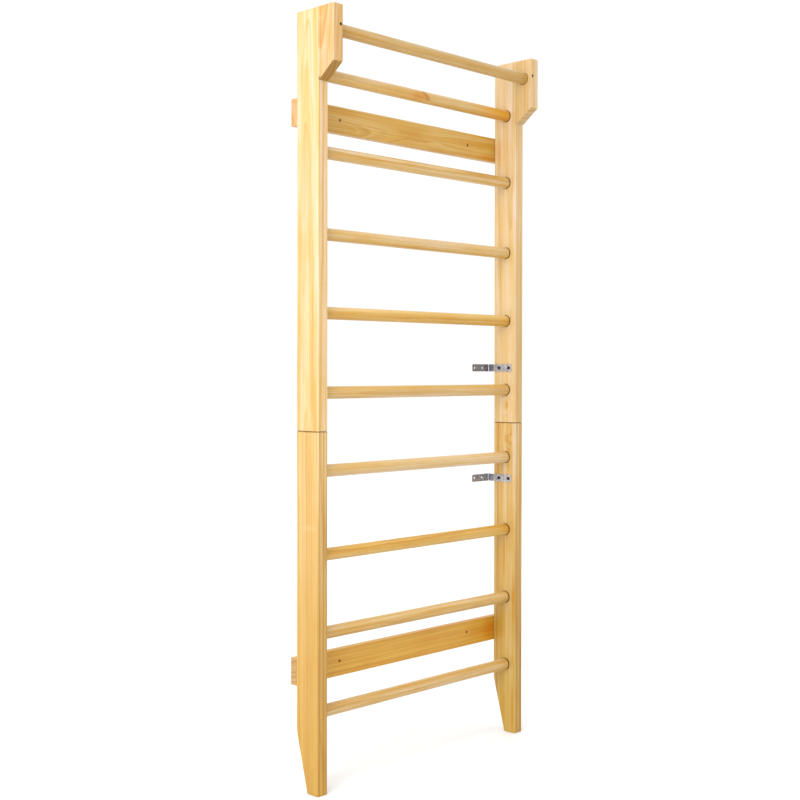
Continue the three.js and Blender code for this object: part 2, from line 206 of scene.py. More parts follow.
class Shader:
    """A material with one Principled shader, and short ways to add nodes."""

    def __init__(self, name):
        self.material = bpy.data.materials.new(name)
        self.material.use_nodes = True
        self.nodes = self.material.node_tree.nodes
        self.links = self.material.node_tree.links
        self.surface = self.nodes["Principled BSDF"]

    def feed(self, socket, value):
        if isinstance(value, bpy.types.NodeSocket):
            self.links.new(value, socket)
        elif isinstance(value, tuple) and len(value) == 3 and len(socket.default_value) == 4:
            socket.default_value = (*value, 1)
        else:
            socket.default_value = value

    def set(self, **values):
        """Sets or links sockets of the Principled shader; Base_Color stands for 'Base Color'."""
        for name, value in values.items():
            self.feed(self.surface.inputs[name.replace("_", " ")], value)
        return self.material

    def math(self, operation, *values, clamp=False):
        node = self.nodes.new("ShaderNodeMath")
        node.operation = operation
        node.use_clamp = clamp
        for socket, value in zip(node.inputs, values):
            self.feed(socket, value)
        return node.outputs[0]

    def total(self, *values):
        result = values[0]
        for value in values[1:]:
            result = self.math("ADD", result, value)
        return result

    def times(self, a, b):
        return self.math("MULTIPLY", a, b)

    def centred(self, value, amount):
        """A 0 to 1 value moved to -amount to +amount."""
        return self.math("MULTIPLY_ADD", value, 2 * amount, -amount)

    def smooth(self, value, low, high, out_low=0.0, out_high=1.0):
        """Smoothly from out_low at low to out_high at high, and no further."""
        node = self.nodes.new("ShaderNodeMapRange")
        node.interpolation_type = "SMOOTHSTEP"
        for socket, given in zip(node.inputs, (value, low, high, out_low, out_high)):
            self.feed(socket, given)
        return node.outputs[0]

    def combine(self, x, y, z):
        node = self.nodes.new("ShaderNodeCombineXYZ")
        for socket, value in zip(node.inputs, (x, y, z)):
            self.feed(socket, value)
        return node.outputs[0]

    def separate(self, vector):
        node = self.nodes.new("ShaderNodeSeparateXYZ")
        self.feed(node.inputs[0], vector)
        return node.outputs

    def mapped(self, vector, scale, location=(0.0, 0.0, 0.0)):
        node = self.nodes.new("ShaderNodeMapping")
        self.feed(node.inputs["Vector"], vector)
        self.feed(node.inputs["Location"], location)
        self.feed(node.inputs["Scale"], scale)
        return node.outputs[0]

    def noise(self, vector, detail=2.0):
        node = self.nodes.new("ShaderNodeTexNoise")
        for name, value in (("Vector", vector), ("Scale", 1.0), ("Detail", detail)):
            self.feed(node.inputs[name], value)
        return node.outputs[0]

    def noise_along(self, value, scale, detail=1.0):
        node = self.nodes.new("ShaderNodeTexNoise")
        node.noise_dimensions = "1D"
        for name, given in (("W", value), ("Scale", scale), ("Detail", detail)):
            self.feed(node.inputs[name], given)
        return node.outputs[0]

    def white(self, value):
        node = self.nodes.new("ShaderNodeTexWhiteNoise")
        node.noise_dimensions = "1D"
        self.feed(node.inputs["W"], value)
        return node.outputs[0]

    def ramp(self, factor, stops, interpolation="LINEAR"):
        """A colour or grey ramp from (position, value) stops."""
        node = self.nodes.new("ShaderNodeValToRGB")
        node.color_ramp.interpolation = interpolation
        elements = node.color_ramp.elements
        while len(elements) < len(stops):
            elements.new(0.5)
        for element, (position, value) in zip(elements, stops):
            element.position = position
            element.color = (*value, 1) if isinstance(value, tuple) else (value, value, value, 1)
        self.feed(node.inputs[0], factor)
        return node.outputs[0]

    def mix(self, factor, a, b, blend="MIX"):
        node = self.nodes.new("ShaderNodeMix")
        node.data_type = "RGBA"
        node.blend_type = blend
        self.feed(node.inputs["Factor"], factor)
        self.feed(node.inputs[6], a)
        self.feed(node.inputs[7], b)
        return node.outputs[2]

    def length(self, vector):
        node = self.nodes.new("ShaderNodeVectorMath")
        node.operation = "LENGTH"
        self.feed(node.inputs[0], vector)
        return node.outputs["Value"]

    def voronoi(self, vector):
        """A random grey for each crystal-like cell."""
        node = self.nodes.new("ShaderNodeTexVoronoi")
        self.feed(node.inputs["Vector"], vector)
        self.feed(node.inputs["Scale"], 1.0)
        return self.separate_colour(node.outputs["Color"])

    def separate_colour(self, colour):
        node = self.nodes.new("ShaderNodeSeparateColor")
        self.feed(node.inputs[0], colour)
        return node.outputs[0]

    def tinted(self, amount, colour, tint):
        """The colour, multiplied by the tint as far as amount says."""
        return self.mix(amount, colour, tint, "MULTIPLY")

    def position(self):
        return self.nodes.new("ShaderNodeTexCoord").outputs["Object"]

    def normal(self):
        return self.nodes.new("ShaderNodeNewGeometry").outputs["Normal"]

    def bump(self, height, distance, strength=1.0):
        node = self.nodes.new("ShaderNodeBump")
        self.feed(node.inputs["Height"], height)
        self.feed(node.inputs["Distance"], distance)
        self.feed(node.inputs["Strength"], strength)
        self.feed(self.surface.inputs["Normal"], node.outputs[0])


# ---- Pine ----

# Tones of lacquered pine, as sRGB colours.
PALE = (202, 174, 130)
STRAW = (197, 167, 114)
PEACH = (191, 157, 110)
TAN = (183, 152, 98)
HONEY = (193, 160, 98)
AMBER = (195, 156, 73)
DEEP = (186, 146, 56)
OLIVE = (185, 151, 62)
GOLD = (201, 153, 42)
END_PALE = (190, 148, 106)
END_HONEY = (172, 138, 94)
END_STRAW = (184, 156, 108)
# End grain darkened to paint the shade under the left wing's sloping underside; the boards' default end
# grain.
END_SHADED = (150, 112, 36)

# Tints, as shares of the wood's own linear colour; some stand for painted shade and light.
LATE = (0.82, 0.68, 0.34)
ORANGE = (0.95, 0.85, 0.50)
CREAM = (1.03, 1.07, 1.34)
RESIN = (0.97, 0.72, 0.24)
SAP = (1.05, 0.76, 0.03)
SHADE = (0.80, 0.76, 0.50)
# Paler wood; at the upper batten's left end it is painted light that brightens the upright's cast shadow.
FADED_AND_LIT = (1.05, 1.11, 1.40)
HEALED = (0.90, 0.80, 0.46)
SCAR = (0.72, 0.52, 0.28)
# Painted shadow where a wing's sloping underside meets its upright.
WING_ROOT_SHADE = (0.35, 0.20, 0.08)
# Painted shade of the groove where a lower and an upper upright meet.
SEAM_SHADE = (0.38, 0.27, 0.13)
# Darker heartwood tone; on the uprights' front faces it is also painted shade of faces turned from the
# light.
HEARTWOOD_AND_SHADE = (0.88, 0.82, 0.64)
# Painted shade inside bores and holes: dark in the uprights' rung sockets and in the ring round each rung,
# paler in the wings' sockets and the battens' wall holes.
DARK_JOINT_SHADE = (0.14, 0.08, 0.03)
PALE_BORE_SHADE = (0.60, 0.46, 0.26)
STRIPE = (0.84, 0.72, 0.36)
GREYED = (0.88, 0.97, 1.15)

ACROSS = {"Z": (0, 1, 2), "X": (1, 2, 0)}  # the two axes across the grain, then the one along it

# How finely each part of the figure varies, per metre: twice across the grain, then along it.
SWAY = (9.0, 9.0, 2.2)
RIPPLE = (55.0, 55.0, 9.0)
FIBRE = (800.0, 800.0, 16.0)
LINE = (230.0, 230.0, 2.4)
STREAK = (75.0, 75.0, 1.5)
CLOUD = (22.0, 22.0, 6.0)

# The same, per metre outwards from the pith.
RING_JITTER = 140.0
BAND = 75.0

# Share of summer wood from the inside of one growth ring to its outside.
RING_PROFILE = [(0.0, 0.0), (0.25, 0.1), (0.55, 0.6), (0.8, 1.0), (0.93, 0.9), (1.0, 0.0)]

WHOLE_LENGTH = 5000  # half size, in millimetres, of a stain that runs along all of a board


def reach_of(s, local, place, sizes):
    """Distance from a knot's or stain's middle, where 1 is its edge. Lengths in millimetres."""
    scale = tuple(1 / (size * MM) for size in sizes)
    away = s.mapped(local, scale, tuple(-p / size for p, size in zip(place, sizes)))
    return s.length(away)


def bores_of(node):
    """Bores in a board: the axis they run along, a point on it, and the radius. In metres."""
    low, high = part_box(node)
    if node.endswith("_post"):
        rungs = [middle(name) for name in RUNGS]
        return [(0, at, RUNG_RADIUS + SOCKET_GAP) for at in rungs if low.z < at.z < high.z]
    if node.endswith("_wing_block"):
        return [(0, middle("pull_up_bar"), RUNG_RADIUS + SOCKET_GAP)]
    if node.endswith("_batten"):
        level = node.split("_")[0]
        z = WALL_HOLE_HEIGHTS[level]
        ends = (low.x + WALL_HOLE_INSET, high.x - WALL_HOLE_INSET)
        return [(1, Vector((x, low.y, z)), WALL_HOLE_SHADE) for x in ends]
    return []


def inside_bores(s, node):
    """1 on the walls of the board's bores, where their shade is painted, and 0 elsewhere."""
    inside = 0.0
    for axis, point, radius in bores_of(node):
        scale = tuple(0.0 if i == axis else 1.0 for i in range(3))
        away = s.length(s.mapped(s.position(), scale, tuple(-p * k for p, k in zip(point, scale))))
        within = s.smooth(away, radius + BORE_SHADE_FADE[0], radius + BORE_SHADE_FADE[1], 1.0, 0.0)
        if axis == 0:
            x = s.math("ABSOLUTE", s.separate(s.position())[0])
            within = s.times(within, s.math("LESS_THAN", x, OUTER_X - 1 * MM))
        inside = s.math("MAXIMUM", inside, within)
    return inside


def pith_distance(s, axes, fibres, spread, pith, lean, wander):
    """Distance from the log's pith in metres, which sways and ripples along the grain."""
    a, b, along = axes
    sway = s.noise(s.mapped(fibres, SWAY, spread))
    ripple = s.noise(s.mapped(fibres, RIPPLE, spread))
    away_a = s.math("SUBTRACT", a, s.math("MULTIPLY_ADD", along, lean[0] * MM, pith[0] * MM))
    away_b = s.math("SUBTRACT", b, s.math("MULTIPLY_ADD", along, lean[1] * MM, pith[1] * MM))
    radius = s.math("SQRT", s.total(s.times(away_a, away_a), s.times(away_b, away_b)))
    return s.total(radius, s.centred(sway, 2 * wander * MM), s.centred(ripple, 0.5 * MM))


def bent_round(s, local, radius, knots):
    """The distance from the pith with its rings bent round the knots, and each knot's heart and tint."""
    hearts = []
    for place, sizes, tint in knots:
        reach = reach_of(s, local, place, sizes)
        radius = s.total(radius, s.smooth(reach, 0.5, 3.2, 2.0 * min(sizes) * MM, 0.0))
        hearts.append((s.smooth(reach, 0.7, 1.15, 1.0, 0.0), tint))
    return radius, hearts


def summer_wood(s, radius, spacing):
    """0 in each ring's spring wood and up to about 1 in its summer wood, stronger in some rings."""
    jitter = s.centred(s.noise_along(radius, RING_JITTER), 1.1)
    rings = s.total(s.math("DIVIDE", radius, spacing * MM), jitter)
    summer = s.ramp(s.math("FRACT", rings), RING_PROFILE)
    strong = s.math("POWER", s.white(s.math("FLOOR", rings)), 1.3)
    return s.times(summer, s.math("MULTIPLY_ADD", strong, 0.9, 0.2))


def with_figure(s, wood, patterns, figure):
    """The wood, warmer and paler in soft bands, patches, streaks and lines."""
    for pattern, share in patterns:
        wood = s.tinted(s.smooth(pattern, 0.48, 0.68, 0.0, share * figure), wood, ORANGE)
        wood = s.tinted(s.smooth(pattern, 0.32, 0.50, share * figure, 0.0), wood, CREAM)
    return wood


def with_marks(s, wood, local, stains_and_shading, hearts):
    """The wood, with its stained patches, among them painted shade and painted light, and the hearts of
    its knots.
    """
    for place, sizes, tint in stains_and_shading:
        reach = reach_of(s, local, place, sizes)
        wood = s.tinted(s.smooth(reach, 0.3, 1.2, 0.9, 0.0), wood, tint)
    for heart, tint in hearts:
        wood = s.tinted(heart, wood, tint)
    return wood


def with_end_grain(s, wood, grain, end, summer, band):
    """The wood, with end grain on the faces that are sawn across it."""
    facing = s.math("ABSOLUTE", s.separate(s.normal())[ACROSS[grain][2]])
    cut_across = s.tinted(summer, linear(*end), LATE)
    cut_across = s.tinted(s.smooth(band, 0.45, 0.65), cut_across, LATE)
    return s.mix(s.smooth(facing, 0.60, 0.78), wood, cut_across)


def with_joint_shade_and_glue(s, wood, node):
    """The wood, with painted shade inside the board's bores, and on a rung a dark ring just outside its
    socket that is squeezed-out glue and painted shade.
    """
    wood = s.tinted(inside_bores(s, node), wood, DARK_JOINT_SHADE if node.endswith("_post") else PALE_BORE_SHADE)
    if node.startswith("rung_"):
        x = s.math("ABSOLUTE", s.separate(s.position())[0])
        # Squeezed-out glue and painted shade: a dark ring on the rung where it enters its socket.
        wood = s.tinted(s.smooth(x, INNER_X - GLUE_AND_SHADE_LINE, INNER_X - 0.5 * GLUE_AND_SHADE_LINE), wood, DARK_JOINT_SHADE)
    return wood


def pine(node, grain, colour, pith, lean=(0.0, 0.0), foot_colour=None, spacing=4.5, wander=3.0,
         contrast=0.6, figure=1.0, seed=0.0, end=END_SHADED, knots=(), stains_and_shading=()):
    """Clear-lacquered pine, cut from a log whose growth rings run round a pith beside the board.

    Lengths are in millimetres from the board's middle. colour is the spring wood's sRGB colour, or
    its colour at the top end where foot_colour gives the other end, and end that of the end grain,
    whose default END_SHADED is darkened to paint the shade under the left wing's sloping underside.
    pith is the pith's place across the grain, lean its drift over each metre. spacing is the rings'
    width and wander how far they sway. contrast is the rings' strength, and figure that of the broad
    bands, streaks and patches. A knot or stain is (place, half its size along X, Y and Z, tint). Some
    of the stain tints are painted shade, and one is painted light.
    """
    s = Shader(f"pine_{node}")
    low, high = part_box(node)
    centre = (low + high) / 2
    local = s.mapped(s.position(), (1.0, 1.0, 1.0), tuple(-c for c in centre))
    separated = s.separate(local)
    axes = [separated[i] for i in ACROSS[grain]]
    fibres = s.combine(*axes)
    spread = (seed * 1.7, seed * 2.3, seed * 0.9)

    radius = pith_distance(s, axes, fibres, spread, pith, lean, wander)
    radius, hearts = bent_round(s, local, radius, knots)
    summer = summer_wood(s, radius, spacing)
    fibre = s.noise(s.mapped(fibres, FIBRE, spread), 3.0)
    line = s.noise(s.mapped(fibres, LINE, spread))
    streak = s.noise(s.mapped(fibres, STREAK, spread))
    cloud = s.noise(s.mapped(fibres, CLOUD, spread))
    band = s.noise_along(radius, BAND, 2.0)

    spring = linear(*colour)
    if foot_colour:
        half = (high - low)[ACROSS[grain][2]] / 2
        spring = s.mix(s.smooth(axes[2], -half, half), linear(*foot_colour), spring)
    wood = s.tinted(s.times(summer, contrast), spring, LATE)
    wood = with_figure(s, wood, ((band, 0.7), (cloud, 0.55), (streak, 0.8), (line, 1.0)), figure)
    wood = s.tinted(1.0, wood, s.ramp(fibre, [(0.25, 0.92), (0.75, 1.0)]))
    wood = with_marks(s, wood, local, stains_and_shading, hearts)
    wood = with_end_grain(s, wood, grain, end, summer, band)
    wood = with_joint_shade_and_glue(s, wood, node)

    s.bump(s.total(summer, s.times(fibre, 0.8)), 0.06 * MM, 0.6)
    gloss = s.total(s.times(cloud, 0.16), s.times(summer, -0.06), s.times(fibre, 0.12))
    rough = s.math("ADD", gloss, 0.32)
    return s.set(Base_Color=wood, Roughness=rough, Coat_Weight=0.10, Coat_Roughness=0.24)


def front_stripes(*places):
    """Stains for narrow dark stripes up the front of an upright, from (x, half width) pairs."""
    return [((x, -46, 0), (half_width, 10, WHOLE_LENGTH), STRIPE) for x, half_width in places]


# Boards that stand: uprights and wings, grain along Z. Across the grain are X, then Y.
STANDING = {
    "left_upper_post": dict(colour=PALE, pith=(70, 8), lean=(14, 5), spacing=5.5,
                            wander=5.0, contrast=0.6, figure=0.9, seed=1.0,
                            stains_and_shading=[((-20, 0, -110), (30, 60, 330), FADED_AND_LIT),
                                    ((0, -46, -450), (60, 8, 300), FADED_AND_LIT)]),
    "right_upper_post": dict(colour=PALE, pith=(62, -20), lean=(-10, 8), wander=4.0, figure=0.8, seed=2.0,
                             knots=[((-18, -8, -533), (12, 9, 13), HEALED)],
                             stains_and_shading=[((-18, 23, 293), (6, 5, 60), RESIN),
                                     ((-18, -34, 490), (5, 4, 150), SHADE),
                                     # Heartwood tone and painted shade on the front face.
                                     ((0, -47, -420), (60, 8, 420), HEARTWOOD_AND_SHADE)]),
    "left_lower_post": dict(colour=STRAW, foot_colour=DEEP, pith=(8, -130), lean=(6, 10), spacing=8.5,
                            wander=1.2, contrast=1.3, figure=0.5, seed=3.0,
                            # Painted shade of the seam's groove along the top of the lower upright.
                            stains_and_shading=[((0, 0, 510), (100, 100, 3.5), SEAM_SHADE),
                                    ((-18, -22, -410), (8, 9, 30), FADED_AND_LIT),
                                    ((-18, -5, 238), (8, 34, 12), FADED_AND_LIT),
                                    # Heartwood tone and painted shade on the front face.
                                    ((0, -47, -60), (60, 8, 460), HEARTWOOD_AND_SHADE),
                                    *front_stripes((-12, 3), (3, 4), (15, 3))]),
    "right_lower_post": dict(colour=STRAW, foot_colour=OLIVE, pith=(40, 95), lean=(-8, 4), spacing=5.5,
                             wander=2.5, contrast=1.0, figure=1.2, seed=4.0,
                             knots=[((-18, -9, 457), (11, 9, 14), HEALED)],
                             stains_and_shading=[((-18, -17, 385), (6, 6, 34), HEALED),
                                     ((-18, -21, 430), (6, 4, 40), HEALED),
                                     ((-18, -26, 480), (6, 4, 40), HEALED),
                                     ((-18, 0, 70), (6, 5, 80), RESIN),
                                     # Painted shade of the seam's groove along the top of the lower
                                     # upright.
                                     ((0, 0, 510), (100, 100, 3.5), SEAM_SHADE),
                                     ((-18, -38, -60), (8, 6, 90), RESIN),
                                     ((-18, -34, -430), (10, 7, 100), RESIN),
                                     ((-18, -12, -150), (6, 10, 90), FADED_AND_LIT),
                                     # Heartwood tone and painted shade on the front face.
                                     ((0, -47, -120), (60, 8, 400), HEARTWOOD_AND_SHADE),
                                     *front_stripes((-8, 4), (6, 3), (15, 3))]),
    "left_wing_block": dict(colour=PEACH, pith=(-90, 20), lean=(60, -60), contrast=0.8, seed=5.0,
                            # Painted shadow at the root of the underside, against the upright.
                            stains_and_shading=[((-12, 30, -100), (14, 12, 10), WING_ROOT_SHADE)]),
    "right_wing_block": dict(colour=PALE, pith=(-25, -120), lean=(10, 0), contrast=0.8, figure=0.7,
                             seed=6.0, end=END_STRAW, stains_and_shading=[((-18, 0, 0), (8, 60, 200), HEARTWOOD_AND_SHADE)]),
}

# Places and half sizes of long stains on a round bar's upper front and on its lower front.
UPPER_STRIP = ((0, -14, 12), (WHOLE_LENGTH, 12, 9))
LOWER_STRIP = ((0, -14, -12), (WHOLE_LENGTH, 12, 9))

# Bars and battens, grain along X. Across the grain are Y, then Z.
LYING = {
    "pull_up_bar": dict(colour=TAN, pith=(38, 22), seed=11.0,
                        stains_and_shading=[((-254, -14, 12), (44, 9, 5), RESIN),
                                ((396, -10, 2), (40, 18, 14), HEALED),
                                (*UPPER_STRIP, GREYED)]),
    "rung_9": dict(colour=STRAW, pith=(30, 34), figure=1.2, seed=32.0,
                   stains_and_shading=[((410, -10, 0), (200, 30, 30), SAP),
                           ((-12, -16, -2), (44, 14, 20), RESIN),
                           ((4, -14, 10), (9, 8, 8), SCAR),
                           ((13, -16, 2), (9, 8, 8), SCAR),
                           ((22, -16, -7), (10, 8, 8), SCAR),
                           (*LOWER_STRIP, ORANGE)]),
    "rung_8": dict(colour=STRAW, pith=(46, -30), contrast=0.8, seed=13.0),
    "rung_7": dict(colour=STRAW, pith=(-40, 40), contrast=0.8, seed=14.0,
                   stains_and_shading=[(*UPPER_STRIP, FADED_AND_LIT), (*LOWER_STRIP, ORANGE)]),
    "rung_6": dict(colour=AMBER, pith=(28, 50), contrast=0.8, seed=15.0,
                   stains_and_shading=[(*UPPER_STRIP, FADED_AND_LIT), (*UPPER_STRIP, FADED_AND_LIT), (*UPPER_STRIP, CREAM),
                           (*LOWER_STRIP, ORANGE)]),
    "rung_5": dict(colour=STRAW, pith=(52, 8), contrast=0.8, seed=16.0, stains_and_shading=[(*UPPER_STRIP, ORANGE)]),
    "rung_4": dict(colour=STRAW, pith=(-50, 18), seed=17.0, contrast=0.4),
    "rung_3": dict(colour=AMBER, pith=(26, -36), seed=18.0, contrast=1.0,
                   stains_and_shading=[(*LOWER_STRIP, FADED_AND_LIT)]),
    "rung_2": dict(colour=HONEY, pith=(60, 20), contrast=0.8, seed=19.0, stains_and_shading=[(*UPPER_STRIP, FADED_AND_LIT)]),
    "rung_1": dict(colour=STRAW, pith=(36, -44), contrast=0.8, seed=20.0,
                   stains_and_shading=[(*UPPER_STRIP, ORANGE), (*UPPER_STRIP, HEARTWOOD_AND_SHADE)]),
    "upper_wall_batten": dict(colour=AMBER, pith=(34, -12), lean=(16, 30), spacing=5.0, wander=7.0,
                              contrast=1.0, figure=1.4, seed=21.0, end=END_PALE,
                              stains_and_shading=[((130, -12, 6), (70, 6, 22), FADED_AND_LIT),
                                      # Painted light: brightens the left end, where the upright's shadow
                                      # falls.
                                      ((-400, -12, 0), (140, 8, 60), FADED_AND_LIT),
                                      ((400, -12, -30), (90, 6, 14), RESIN)]),
    "lower_wall_batten": dict(colour=GOLD, pith=(20, 90), lean=(0, 10), wander=2.0, seed=22.0,
                              end=END_HONEY, stains_and_shading=[((400, -12, 0), (50, 8, 40), RESIN)]),
}


# ---- Steel, beech and floor ----


def galvanised():
    """Dull zinc with a faint spangle and bands across the strip.

    It has painted shade behind the uprights, more on the upper brackets and less at the bend, and it is a
    little warm on the legs that lie along the uprights.
    """
    s = Shader("zinc_steel")
    x, y, z = s.separate(s.position())
    spangle = s.voronoi(s.mapped(s.position(), (230.0, 230.0, 230.0)))
    blotch = s.noise(s.mapped(s.position(), (90.0, 90.0, 160.0)), 3.0)
    across = s.math("ABSOLUTE", x)
    bands = s.noise_along(s.total(across, y), 170.0, 2.0)
    tone = s.total(s.times(spangle, 0.15), s.times(blotch, 0.35), s.times(bands, 0.5))
    greys = [(0.32, linear(140, 140, 144)), (0.5, linear(190, 190, 196)), (0.68, linear(224, 224, 230))]
    colour = s.ramp(tone, greys)
    by_post = s.smooth(across, INNER_X - 5 * MM, INNER_X - 3 * MM)
    by_wall = s.smooth(y, WALL - 5 * MM, WALL - 3 * MM)
    at_bend = s.times(by_post, by_wall)
    # Painted shade: the zinc is darkened behind the uprights, more on the upper brackets, less at the
    # bend.
    behind_post = s.smooth(y, POST_BACK, POST_BACK + 2 * MM)
    painted_shade = s.math("SUBTRACT", behind_post, s.times(at_bend, 0.6), clamp=True)
    painted_shade = s.times(painted_shade, s.smooth(z, SEAM_TOP - 50 * MM, SEAM_TOP + 50 * MM, 0.6, 1.0))
    colour = s.tinted(painted_shade, colour, (0.50, 0.50, 0.50))
    before_post = s.math("SUBTRACT", 1.0, behind_post)
    colour = s.tinted(before_post, colour, (0.95, 0.89, 0.82))
    s.bump(blotch, 0.05 * MM, 0.5)
    rough = s.smooth(tone, 0.25, 0.75, 0.50, 0.32)
    return s.set(Base_Color=colour, Roughness=rough, Metallic=1.0)


def plated(name, dark, light, roughness):
    """Screw steel with a slightly uneven plating."""
    s = Shader(name)
    grime = s.noise(s.mapped(s.position(), (600.0, 600.0, 600.0)), 3.0)
    colour = s.ramp(grime, [(0.3, dark), (0.7, light)])
    s.bump(grime, 0.02 * MM, 0.5)
    rough = s.smooth(grime, 0.3, 0.7, roughness + 0.1, roughness - 0.05)
    return s.set(Base_Color=colour, Roughness=rough, Metallic=1.0)


def beech():
    """Dry, unlacquered beech with its short dark flecks."""
    s = Shader("beech_dowel")
    flecks = s.noise(s.mapped(s.position(), (900.0, 900.0, 260.0)), 2.0)
    cloud = s.noise(s.mapped(s.position(), (120.0, 120.0, 30.0)))
    tone = s.total(s.times(flecks, 0.6), s.times(cloud, 0.4))
    browns = [(0.3, linear(176, 128, 92)), (0.55, linear(214, 172, 132)), (0.8, linear(226, 188, 150))]
    colour = s.ramp(tone, browns)
    s.bump(flecks, 0.05 * MM, 0.5)
    return s.set(Base_Color=colour, Roughness=0.62)


def floor_paint():
    """Pale paint, palest far away, so that the floor has no visible edge."""
    s = Shader("floor_paint")
    cloud = s.noise(s.mapped(s.position(), (0.8, 0.8, 0.8)))
    grey = s.smooth(s.length(s.position()), *FLOOR_FADE, FLOOR_NEAR, FLOOR_FAR)
    rough = s.smooth(cloud, 0.3, 0.7, 0.62, 0.72)
    return s.set(Base_Color=s.combine(grey, grey, grey), Roughness=rough)


PINE = {node: pine(node, "Z", **look) for node, look in STANDING.items()}
PINE.update({node: pine(node, "X", **look) for node, look in LYING.items()})
ZINC = galvanised()
BLACK = plated("black_steel", linear(22, 21, 22), linear(54, 52, 54), 0.42)
YELLOW_ZINC = plated("yellow_zinc", linear(186, 158, 96), linear(222, 200, 140), 0.3)
BEECH = beech()


# ---- Mesh helpers ----


def new_object(name, mesh):
    piece = bpy.data.objects.new(name, mesh)
    bpy.context.scene.collection.objects.link(piece)
    return piece


def mesh_from(name, build):
    """A mesh object whose bmesh is filled by build(bm), with its faces turned outwards."""
    bm = bmesh.new()
    build(bm)
    bmesh.ops.recalc_face_normals(bm, faces=bm.faces)
    mesh = bpy.data.meshes.new(name)
    bm.to_mesh(mesh)
    bm.free()
    return new_object(name, mesh)


def extruded(bm, outline, offset):
    """Fills the outline, a ring of points, with a face and extrudes it by offset."""
    face = bm.faces.new([bm.verts.new(point) for point in outline])
    result = bmesh.ops.extrude_face_region(bm, geom=[face])
    moved = [v for v in result["geom"] if isinstance(v, bmesh.types.BMVert)]
    bmesh.ops.translate(bm, verts=moved, vec=offset)


def turned(bm, profile, start, direction, sides):
    """Revolves [radius, distance] points round an axis; the profile starts and ends on the axis."""
    turn = Vector((0, 0, 1)).rotation_difference(Vector(direction))
    place = Matrix.Translation(start) @ turn.to_matrix().to_4x4()
    rings = []
    for radius, distance in profile:
        if radius == 0:
            rings.append([bm.verts.new(place @ Vector((0, 0, distance)))])
            continue
        angles = (2 * math.pi * i / sides for i in range(sides))
        around = [Vector((radius * math.cos(a), radius * math.sin(a), distance)) for a in angles]
        rings.append([bm.verts.new(place @ point) for point in around])
    for low, high in zip(rings, rings[1:]):
        for i in range(sides):
            j = (i + 1) % sides
            corners = [low[i % len(low)], low[j % len(low)], high[j % len(high)], high[i % len(high)]]
            bm.faces.new(list(dict.fromkeys(corners)))


def cutter(profile, start, direction, sides=HOLE_SIDES):
    return mesh_from("cutter", lambda bm: turned(bm, profile, start, direction, sides))


def countersunk(mouth, bore, sink, depth):
    """A cutter's profile, from BEYOND a face: straight to sink, then a cone down to the bore."""
    cone_end = BEYOND + sink + (mouth - bore)
    end = BEYOND + depth
    return [(0, 0), (mouth, 0), (mouth, BEYOND + sink), (bore, cone_end), (bore, end), (0, end)]


def subtract(piece, cutters):
    """Cuts every cutter out of piece, and removes the cutters."""
    for tool in cutters:
        modifier = piece.modifiers.new("cut", "BOOLEAN")
        modifier.operation = "DIFFERENCE"
        modifier.solver = "EXACT"
        modifier.object = tool
    apply_modifiers(piece)
    for tool in cutters:
        mesh = tool.data
        bpy.data.objects.remove(tool)
        bpy.data.meshes.remove(mesh)


def apply_modifiers(piece):
    graph = bpy.context.evaluated_depsgraph_get()
    graph.update()
    mesh = bpy.data.meshes.new_from_object(piece.evaluated_get(graph))
    old = piece.data
    piece.modifiers.clear()
    piece.data = mesh
    bpy.data.meshes.remove(old)
    mesh.name = piece.name


def finish_shading(piece, sharp_degrees=40):
    """Smooth shading that stays flat on the large faces and crisp at real corners."""
    mesh = piece.data
    mesh.polygons.foreach_set("use_smooth", [True] * len(mesh.polygons))
    mesh.set_sharp_from_angle(angle=math.radians(sharp_degrees))
    modifier = piece.modifiers.new("flat faces", "WEIGHTED_NORMAL")
    modifier.keep_sharp = True
    modifier.weight = 100
    apply_modifiers(piece)


def publish(piece, material, slot, *nodes):
    """Gives a finished piece its material and its body, and hides the CAD nodes that it stands for."""
    piece.data.materials.clear()
    piece.data.materials.append(material)
    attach(piece, "root")
    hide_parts(*nodes)


# ---- Uprights and wings ----


def board(name, outline, side, keep_sharp=None):
    """A board from an outline of (y, z) points, as thick as an upright, with rounded edges.

    keep_sharp(edge middle) picks the edges that stay square, where two boards meet.
    """
    inner = SIDES[side] * INNER_X
    across = SIDES[side] * (OUTER_X - INNER_X)

    def build(bm):
        extruded(bm, [(inner, y, z) for y, z in outline], (across, 0, 0))
        bmesh.ops.recalc_face_normals(bm, faces=bm.faces)
        sharp = [e for e in bm.edges if e.calc_face_angle(0) > math.radians(5)]
        if keep_sharp:
            sharp = [e for e in sharp if not keep_sharp((e.verts[0].co + e.verts[1].co) / 2)]
        bmesh.ops.bevel(bm, geom=sharp, offset=EDGE_ROUND, segments=4, profile=0.5, affect="EDGES")

    return mesh_from(name, build)


def socket_cutter(side, y, z):
    """A blind rung socket with a rounded-over mouth."""
    sign = SIDES[side]
    radius = RUNG_RADIUS + SOCKET_GAP
    mouth = [
        (radius + SOCKET_MOUTH * (1 - math.sin(a)), BEYOND + SOCKET_MOUTH * (1 - math.cos(a)))
        for a in (0, math.pi / 6, math.pi / 3, math.pi / 2)
    ]
    profile = [(0, 0), (radius + SOCKET_MOUTH, 0)] + mouth
    profile += [(radius, BEYOND + SOCKET_DEPTH), (0, BEYOND + SOCKET_DEPTH)]
    start = (sign * (INNER_X - BEYOND), y, z)
    return cutter(profile, start, (sign, 0, 0), ROUND_SIDES)


